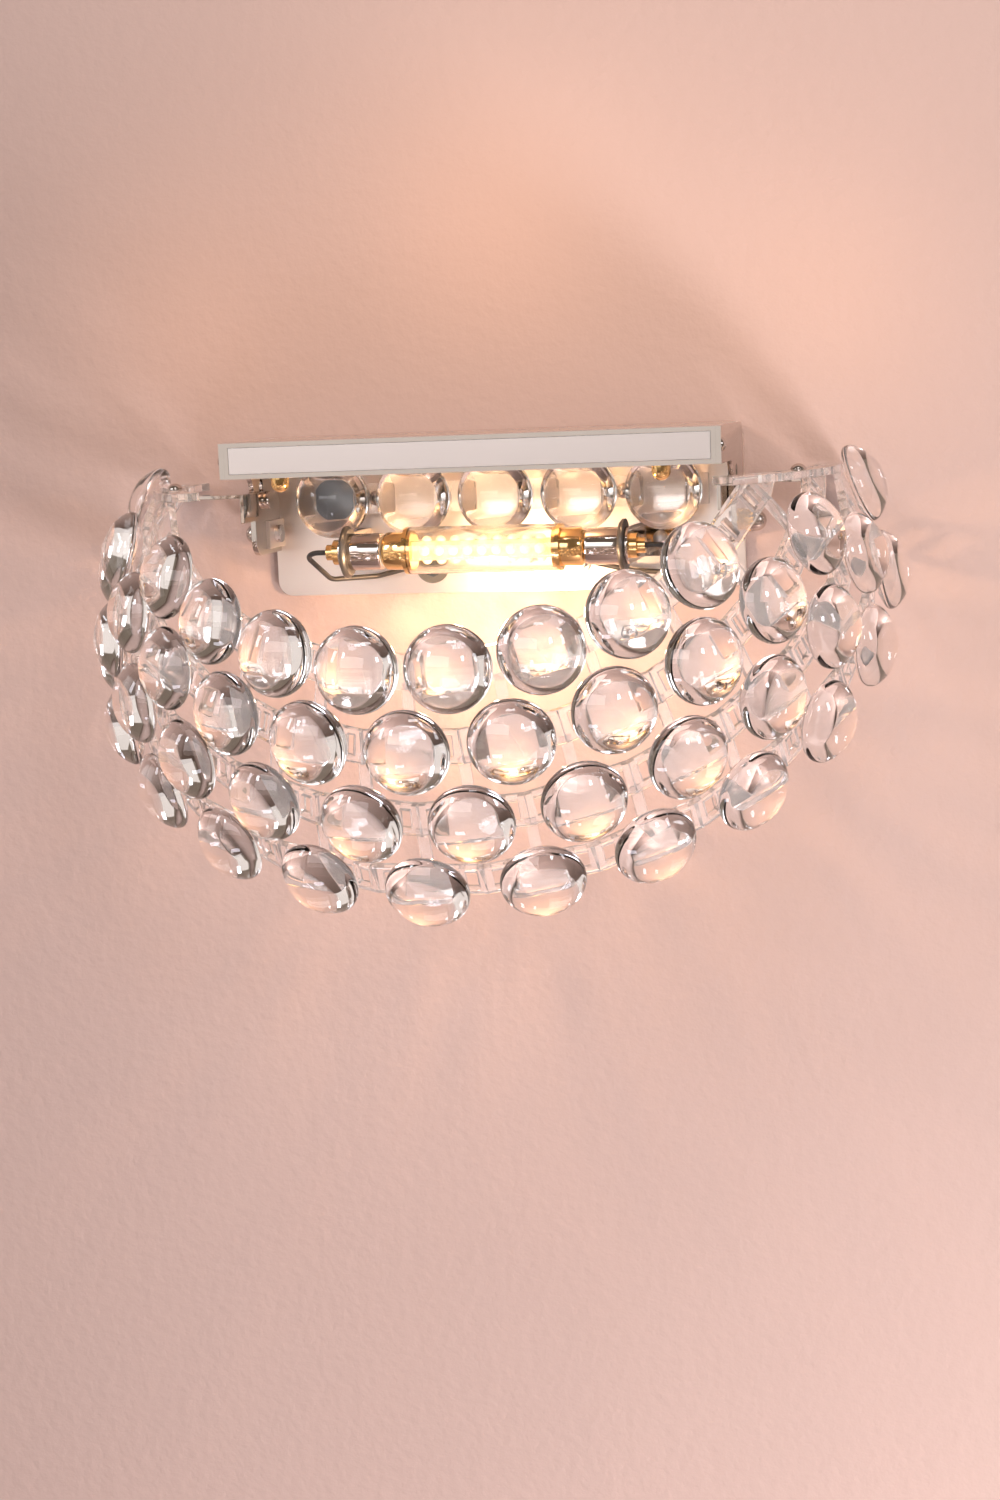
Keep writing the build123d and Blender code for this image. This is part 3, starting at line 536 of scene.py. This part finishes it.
@dataclass
class CutCrystal:
    """One crystal disc: flat back, bevel, rounded rim and domed front."""

    radius: float = 15.0 * MM
    back: float = 6.5 * MM
    bevel: float = 4.0 * MM
    rim: float = 2.5 * MM
    dome: float = 8.0 * MM
    rim_round: float = 1.0 * MM
    back_round: float = 0.35 * MM
    sides: int = 48
    dome_rings: int = 7
    rim_segments: int = 3
    back_segments: int = 1
    crown_inset: float = 0.5
    crown_rise: float = 0.75
    smooth_angle: float = 35.0

    def build(self) -> bpy.types.Object:
        """Models the disc standing on its flat back at the origin.

        Returns:
            The finished disc.
        """
        deselect()
        bpy.ops.mesh.primitive_circle_add(vertices=self.sides, radius=self.back, fill_type="NGON")
        disc = bpy.context.object
        bpy.ops.object.mode_set(mode="EDIT")
        bpy.ops.mesh.select_all(action="SELECT")
        self.grow(self.radius / self.back, self.bevel)
        self.grow(1.0, self.rim)
        ball = (self.radius**2 + self.dome**2) / (2 * self.dome)
        spread_angle = math.asin(self.radius / ball)
        width, height = self.radius, 0.0
        for ring in range(1, self.dome_rings + 1):
            angle = spread_angle * (1 - ring / (self.dome_rings + 1))
            next_width = ball * math.sin(angle)
            next_height = ball * math.cos(angle) - (ball - self.dome)
            self.grow(next_width / width, next_height - height)
            width, height = next_width, next_height
        crown = (self.dome - height) * self.crown_rise
        bpy.ops.mesh.inset(thickness=width * self.crown_inset, depth=crown)
        bpy.ops.object.mode_set(mode="OBJECT")
        self.close_back(disc)
        self.soften(disc)
        activate(disc)
        bpy.ops.object.shade_smooth_by_angle(angle=math.radians(self.smooth_angle))
        return disc

    def grow(self, scale: float, rise: float) -> None:
        """Extrudes the selected face upwards and widens or narrows it.

        Args:
            scale: Change of the width.
            rise: Height of the step.
        """
        bpy.ops.mesh.extrude_region_move(TRANSFORM_OT_translate={"value": (0.0, 0.0, rise)})
        bpy.ops.transform.resize(value=(scale, scale, 1.0))

    def close_back(self, disc: bpy.types.Object) -> None:
        """Fills the flat back and turns every face outwards.

        Args:
            disc: The disc.
        """
        activate(disc)
        bpy.ops.object.mode_set(mode="EDIT")
        bpy.ops.mesh.select_all(action="DESELECT")
        bpy.ops.mesh.select_mode(type="EDGE")
        bpy.ops.mesh.select_non_manifold()
        bpy.ops.mesh.edge_face_add()
        bpy.ops.mesh.select_all(action="SELECT")
        bpy.ops.mesh.normals_make_consistent(inside=False)
        bpy.ops.object.mode_set(mode="OBJECT")

    def soften(self, disc: bpy.types.Object) -> None:
        """Rounds the rim and eases the edge of the flat back.

        Args:
            disc: The disc.
        """
        rim = ((self.bevel, self.bevel + self.rim), self.rim_round, self.rim_segments)
        back = ((0.0,), self.back_round, self.back_segments)
        for heights, width, segments in (rim, back):
            activate(disc)
            bpy.ops.object.mode_set(mode="EDIT")
            bpy.ops.mesh.select_mode(type="EDGE")
            bpy.ops.mesh.select_all(action="DESELECT")
            bpy.ops.object.mode_set(mode="OBJECT")
            points = disc.data.vertices
            for edge in disc.data.edges:
                ends = [points[index].co for index in edge.vertices]
                flat = abs(ends[0].z - ends[1].z) < SAME_PLACE
                edge.select = flat and any(abs(ends[0].z - height) < SAME_PLACE for height in heights)
            bpy.ops.object.mode_set(mode="EDIT")
            bpy.ops.mesh.bevel(offset=width, segments=segments, affect="EDGES")
            bpy.ops.object.mode_set(mode="OBJECT")


@dataclass
class CrystalRows:
    """All rows of crystals, each disc at its CAD solid's place."""

    finish: bpy.types.Material
    disc: CutCrystal = field(default_factory=CutCrystal)
    basket_rows: tuple[str, ...] = ("crystals_row_1", "crystals_row_2", "crystals_row_3", "crystals_row_4")
    back_row: str = "back_crystals"

    def build(self) -> None:
        """Models one disc, then sets copies of it in every row."""
        master = self.disc.build()
        for node in self.basket_rows:
            self.row(master, node, f"cut_{node}", Body.BASKET)
        self.row(master, self.back_row, "cut_crystals_back", Body.WALL_UNIT)
        bpy.data.objects.remove(master)

    def row(self, master: bpy.types.Object, node: str, name: str, body: Body) -> None:
        """Makes one row's crystals as one piece.

        Args:
            master: The disc at the origin.
            node: The CAD node that the row stands for.
            name: The piece's name.
            body: The body that it rides on.
        """
        copies = []
        for index, (base, outward) in enumerate(flat_backs(node)):
            copy = bpy.data.objects.new(f"{name}_{index}", master.data.copy())
            bpy.context.scene.collection.objects.link(copy)
            turn = Vector((0.0, 0.0, 1.0)).rotation_difference(outward)
            copy.data.transform(Matrix.Translation(base) @ turn.to_matrix().to_4x4())
            copies.append(copy)
        deselect()
        for copy in copies:
            copy.select_set(True)
        bpy.context.view_layer.objects.active = copies[0]
        bpy.ops.object.join()
        piece = bpy.context.object
        finish_piece(piece, name, body, "crystal", self.finish)
        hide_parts(node)


@dataclass
class ContactSprings:
    """Coil springs behind the lampholders' contacts."""

    finish: bpy.types.Material
    slot: str
    wire: float = 0.3 * MM
    wire_sides: int = 10
    turns: int = 4
    turn_steps: int = 28
    pressed_share: float = 0.45
    sides: tuple[tuple[str, int], ...] = (("left", -1), ("right", 1))

    def build(self) -> None:
        """Models both springs."""
        for side, way in self.sides:
            self.spring(side)

    def spring(self, side: str) -> None:
        """Winds one spring in its CAD node's box.

        Args:
            side: Which lampholder.
        """
        node = f"contact_spring_{side}"
        corners = [Vector(corner) for corner in frame["nodes"][node].bound_box]
        low = Vector(min(corner[axis] for corner in corners) for axis in range(3))
        high = Vector(max(corner[axis] for corner in corners) for axis in range(3))
        middle = (low + high) / 2
        length = high.x - low.x - 2 * self.wire
        deselect()
        bpy.ops.mesh.primitive_circle_add(vertices=self.wire_sides, radius=self.wire)
        coil = bpy.context.object
        coil.data.transform(Matrix.Rotation(math.radians(90), 4, "X"))
        coil.data.transform(Matrix.Translation(((high.y - low.y) / 2 - self.wire, 0.0, 0.0)))
        apply_modifier(
            coil,
            "SCREW",
            iterations=self.turns,
            steps=self.turn_steps,
            render_steps=self.turn_steps,
            screw_offset=length / self.turns,
        )
        bpy.ops.object.mode_set(mode="EDIT")
        bpy.ops.mesh.select_all(action="SELECT")
        bpy.ops.mesh.fill_holes(sides=0)
        bpy.ops.mesh.normals_make_consistent(inside=False)
        bpy.ops.object.mode_set(mode="OBJECT")
        bpy.ops.object.shade_smooth()
        start = Matrix.Translation((low.x + self.wire, middle.y, middle.z))
        coil.data.transform(start @ Matrix.Rotation(math.radians(90), 4, "Y"))
        finish_piece(coil, f"coil_spring_{side}", Body.WALL_UNIT, self.slot, self.finish)
        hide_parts(node)
        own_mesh(coil)


@dataclass
class CadDress:
    """Finishes of the CAD nodes that stay, with eased edges on the metal and the clear links."""

    finishes: dict[str, bpy.types.Material]
    node_finishes: dict[str, bpy.types.Material]
    sharp: float = 30.0
    bevel_segments: int = 2
    bevels: dict[str, float] = field(
        default_factory=lambda: {
            "polished_nickel": 0.25 * MM,
            "satin_nickel": 0.15 * MM,
            "clear_acrylic": 0.4 * MM,
        }
    )

    def build(self) -> None:
        """Gives every shown CAD node its finish."""
        for node, slot in node_slots().items():
            piece = frame["nodes"][node]
            piece.data.materials.clear()
            piece.data.materials.append(self.node_finishes.get(node, self.finishes[slot]))
            LOG.info("%s: %s", node, slot)
            piece.visible_shadow = slot not in CLEAR_SLOTS
            if not piece.hide_render:
                self.ease(piece, slot)

    def ease(self, piece: bpy.types.Object, slot: str) -> None:
        """Welds the node's loose triangles for shading, and eases its sharp edges.

        Args:
            piece: The CAD node's object.
            slot: Its material slot.
        """
        weld = piece.modifiers.new("weld", "WELD")
        weld.merge_threshold = SAME_PLACE
        if slot in self.bevels:
            ease = piece.modifiers.new("ease", "BEVEL")
            ease.width = self.bevels[slot]
            ease.segments = self.bevel_segments
            ease.limit_method = "ANGLE"
            ease.angle_limit = math.radians(self.sharp)
            ease.harden_normals = False


@dataclass(frozen=True)
class AreaLight:
    """One soft rectangular light that looks at the sconce or the wall."""

    name: str
    place: tuple[float, float, float]
    size: tuple[float, float]
    power: float
    colour: tuple[float, float, float]
    aim: tuple[float, float, float] = (0.0, -0.06, -0.03)
    seen: bool = True
    on_wall: bool = True

    def make(self) -> None:
        """Sets the light in the scene. Glass and metal show it if seen, and paint takes it if on_wall."""
        data = bpy.data.lights.new(self.name, "AREA")
        data.shape = "RECTANGLE"
        data.size, data.size_y = self.size
        data.energy = self.power
        data.color = self.colour
        lamp = bpy.data.objects.new(self.name, data)
        lamp.visible_glossy = self.seen
        lamp.visible_transmission = self.seen
        lamp.visible_diffuse = self.on_wall
        lamp.location = self.place
        lamp.rotation_mode = "QUATERNION"
        lamp.rotation_quaternion = (Vector(self.aim) - Vector(self.place)).to_track_quat("-Z", "Y")
        bpy.context.scene.collection.objects.link(lamp)


AREA_LIGHTS = (
    AreaLight("window", (-0.9, -1.2, 0.75), (0.16, 0.28), 3.6, (0.86, 0.92, 1.0)),
    AreaLight("second window", (0.95, -1.25, 0.55), (0.16, 0.28), 3.6, (0.88, 0.93, 1.0)),
    AreaLight("left window", (-0.75, -0.5, 0.3), (0.12, 0.3), 1.0, (0.90, 0.92, 1.0)),
    AreaLight("right window", (0.8, -0.45, 0.25), (0.1, 0.25), 0.8, (0.90, 0.92, 1.0)),
    AreaLight("low window", (-0.25, -0.8, -0.6), (0.3, 0.12), 1.0, (0.84, 0.86, 1.0)),
    AreaLight("high window", (0.15, -0.6, 0.8), (0.3, 0.1), 1.0, (0.95, 0.95, 1.0)),
    AreaLight("front screen", (-0.35, -1.3, 0.36), (1.2, 0.5), 5.0, (1.0, 0.95, 0.96)),
    AreaLight("front card", (-0.35, -1.35, 0.0), (1.2, 0.2), 0.6, (1.0, 0.95, 0.92)),
    AreaLight("left screen", (-0.95, -0.5, 0.0), (0.8, 0.9), 1.5, (1.0, 0.92, 0.89), on_wall=False),
    AreaLight("behind", (-0.5, 1.3, 0.7), (0.9, 0.6), 6.0, (1.0, 0.95, 0.92)),
    AreaLight("room", (1.5, -0.7, -0.2), (0.8, 0.8), 9.0, (0.92, 0.95, 1.0), seen=False),
    AreaLight(
        "low room", (0.7, -0.6, -0.8), (0.5, 0.3), 25.0, (0.97, 0.95, 0.96), (0.15, 0.0, -0.75), False
    ),
    AreaLight(
        "top glow", (0.35, -0.5, 0.7), (0.4, 0.3), 4.5, (1.0, 0.88, 0.78), (0.25, 0.0, 0.28), False
    ),
)


@dataclass
class Studio:
    """Wall, floor, lights and camera."""

    wall_finish: bpy.types.Material
    wall_half: float = 3.0
    wall_y: float = 0.0006
    wall_overlap: float = 0.001
    floor_z: float = -0.9
    camera_place: tuple[float, float, float] = (0.206, -0.8845, 0.050)
    yaw: float = 0.2355
    pitch: float = 0.159
    roll: float = 0.042
    lens: float = 54.9
    sensor: float = 36.0
    clip: tuple[float, float] = (0.01, 50.0)
    glow_place: tuple[float, float, float] = (0.0, -0.062, -0.032)
    glow_power: float = 0.75
    glow_colour: tuple[float, float, float] = (1.0, 0.62, 0.34)
    glow_radius: float = 6.0 * MM
    lobe_place: tuple[float, float, float] = (0.125, -0.075, 0.075)
    middle_lobe_place: tuple[float, float, float] = (0.0, -0.085, 0.11)
    lobe_power: float = 0.14
    middle_lobe_power: float = 0.28
    ray_scale: float = 12.0
    ray_detail: float = 3.0
    ray_roughness: float = 0.6
    ray_range: tuple[float, float] = (0.1, 2.1)
    world_colour: tuple[float, float, float] = (1.0, 0.77, 0.60)
    world_strength: float = 0.19

    def build(self) -> None:
        """Makes the stage, the lights and the camera."""
        self.wall()
        self.floor()
        self.lights()
        self.camera()

    def wall(self) -> None:
        """Pale wall behind the sconce, seen from the front only, open where the wall plate covers it."""
        corners = [Vector(corner) for corner in frame["nodes"]["wall_plate"].bound_box]
        inner_x = max(corner.x for corner in corners) - self.wall_overlap
        low = min(corner.z for corner in corners) + self.wall_overlap
        high = max(corner.z for corner in corners) - self.wall_overlap
        top = self.floor_z + 2 * self.wall_half
        points = []
        for half, bottom, upper in ((self.wall_half, self.floor_z, top), (inner_x, low, high)):
            for x, z in ((-half, bottom), (half, bottom), (half, upper), (-half, upper)):
                points.append((x, self.wall_y, z))
        sides = [(side, (side + 1) % 4, (side + 1) % 4 + 4, side + 4) for side in range(4)]
        mesh = bpy.data.meshes.new("stage_wall")
        mesh.from_pydata(points, [], sides)
        mesh.materials.append(self.wall_finish)
        wall = bpy.data.objects.new("stage_wall", mesh)
        bpy.context.scene.collection.objects.link(wall)

    def floor(self) -> None:
        """Pale floor well below the sconce."""
        deselect()
        bpy.ops.mesh.primitive_plane_add(size=2 * self.wall_half, location=(0, 0, 0))
        floor = bpy.context.object
        floor.name = "stage_floor"
        floor.data.transform(Matrix.Translation((0, 0, self.floor_z)))
        floor.data.materials.append(self.wall_finish)

    def lights(self) -> None:
        """Windows and screens that metal and glass show, unseen fills, the lamp's glow and a warm world."""
        for light in AREA_LIGHTS:
            light.make()
        self.streak(self.glow(self.glow_place, self.glow_power, True))
        for side in (-1, 1):
            self.glow((side * self.lobe_place[0], *self.lobe_place[1:]), self.lobe_power, False)
        self.glow(self.middle_lobe_place, self.middle_lobe_power, False)
        world = bpy.data.worlds.new("studio")
        world.use_nodes = True
        back = world.node_tree.nodes["Background"]
        socket(back, "Color", (*self.world_colour, 1.0))
        socket(back, "Strength", self.world_strength)
        bpy.context.scene.world = world

    def glow(self, place: tuple[float, float, float], power: float, shine: bool) -> bpy.types.PointLight:
        """Warm light of the lamp from one place.

        Args:
            place: Where it stands.
            power: Its power in watts.
            shine: Whether metal and crystals shine with it.

        Returns:
            The light's data.
        """
        data = bpy.data.lights.new("lamp glow", "POINT")
        data.energy = power
        data.color = self.glow_colour
        data.shadow_soft_size = self.glow_radius
        light = bpy.data.objects.new("lamp glow", data)
        light.location = place
        light.visible_camera = False
        light.visible_glossy = shine
        light.visible_transmission = False
        bpy.context.scene.collection.objects.link(light)
        return data

    def streak(self, data: bpy.types.PointLight) -> None:
        """Breaks the lamp's light into soft rays, as the crystals round it do.

        Args:
            data: The lamp's data.
        """
        data.use_nodes = True
        tree = data.node_tree
        way = tree.nodes.new("ShaderNodeTexCoord")
        outward = way.outputs["Normal"]
        rays = noise(tree, outward, self.ray_scale, self.ray_detail, self.ray_roughness)
        tree.links.new(spread(tree, rays, *self.ray_range), tree.nodes["Emission"].inputs["Strength"])

    def camera(self) -> None:
        """The camera at the photo's place and angle."""
        data = bpy.data.cameras.new("camera")
        data.lens = self.lens
        data.sensor_width = self.sensor
        data.clip_start, data.clip_end = self.clip
        camera = bpy.data.objects.new("camera", data)
        camera.location = self.camera_place
        forward = Vector(
            (
                -math.sin(self.yaw) * math.cos(self.pitch),
                math.cos(self.yaw) * math.cos(self.pitch),
                -math.sin(self.pitch),
            )
        )
        camera.rotation_mode = "QUATERNION"
        level = forward.to_track_quat("-Z", "Y")
        camera.rotation_quaternion = Quaternion(forward, self.roll) @ level
        bpy.context.scene.collection.objects.link(camera)
        bpy.context.scene.camera = camera


def main() -> None:
    """Builds the sconce's looks in order."""
    logging.basicConfig(level=logging.INFO, format="%(name)s %(message)s")
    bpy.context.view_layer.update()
    bpy.context.scene.view_settings.view_transform = "Standard"
    finishes = {slot: finish.make() for slot, finish in FINISHES.items()}
    CrystalRows(finishes["crystal"]).build()
    spring_slot = node_slots()["contact_spring_left"]
    ContactSprings(finishes[spring_slot], spring_slot).build()
    CadDress(finishes, {node: finish.make() for node, finish in NODE_FINISHES.items()}).build()
    Studio(WALL_PAINT.make()).build()


if __name__ == "__main__":
    main()
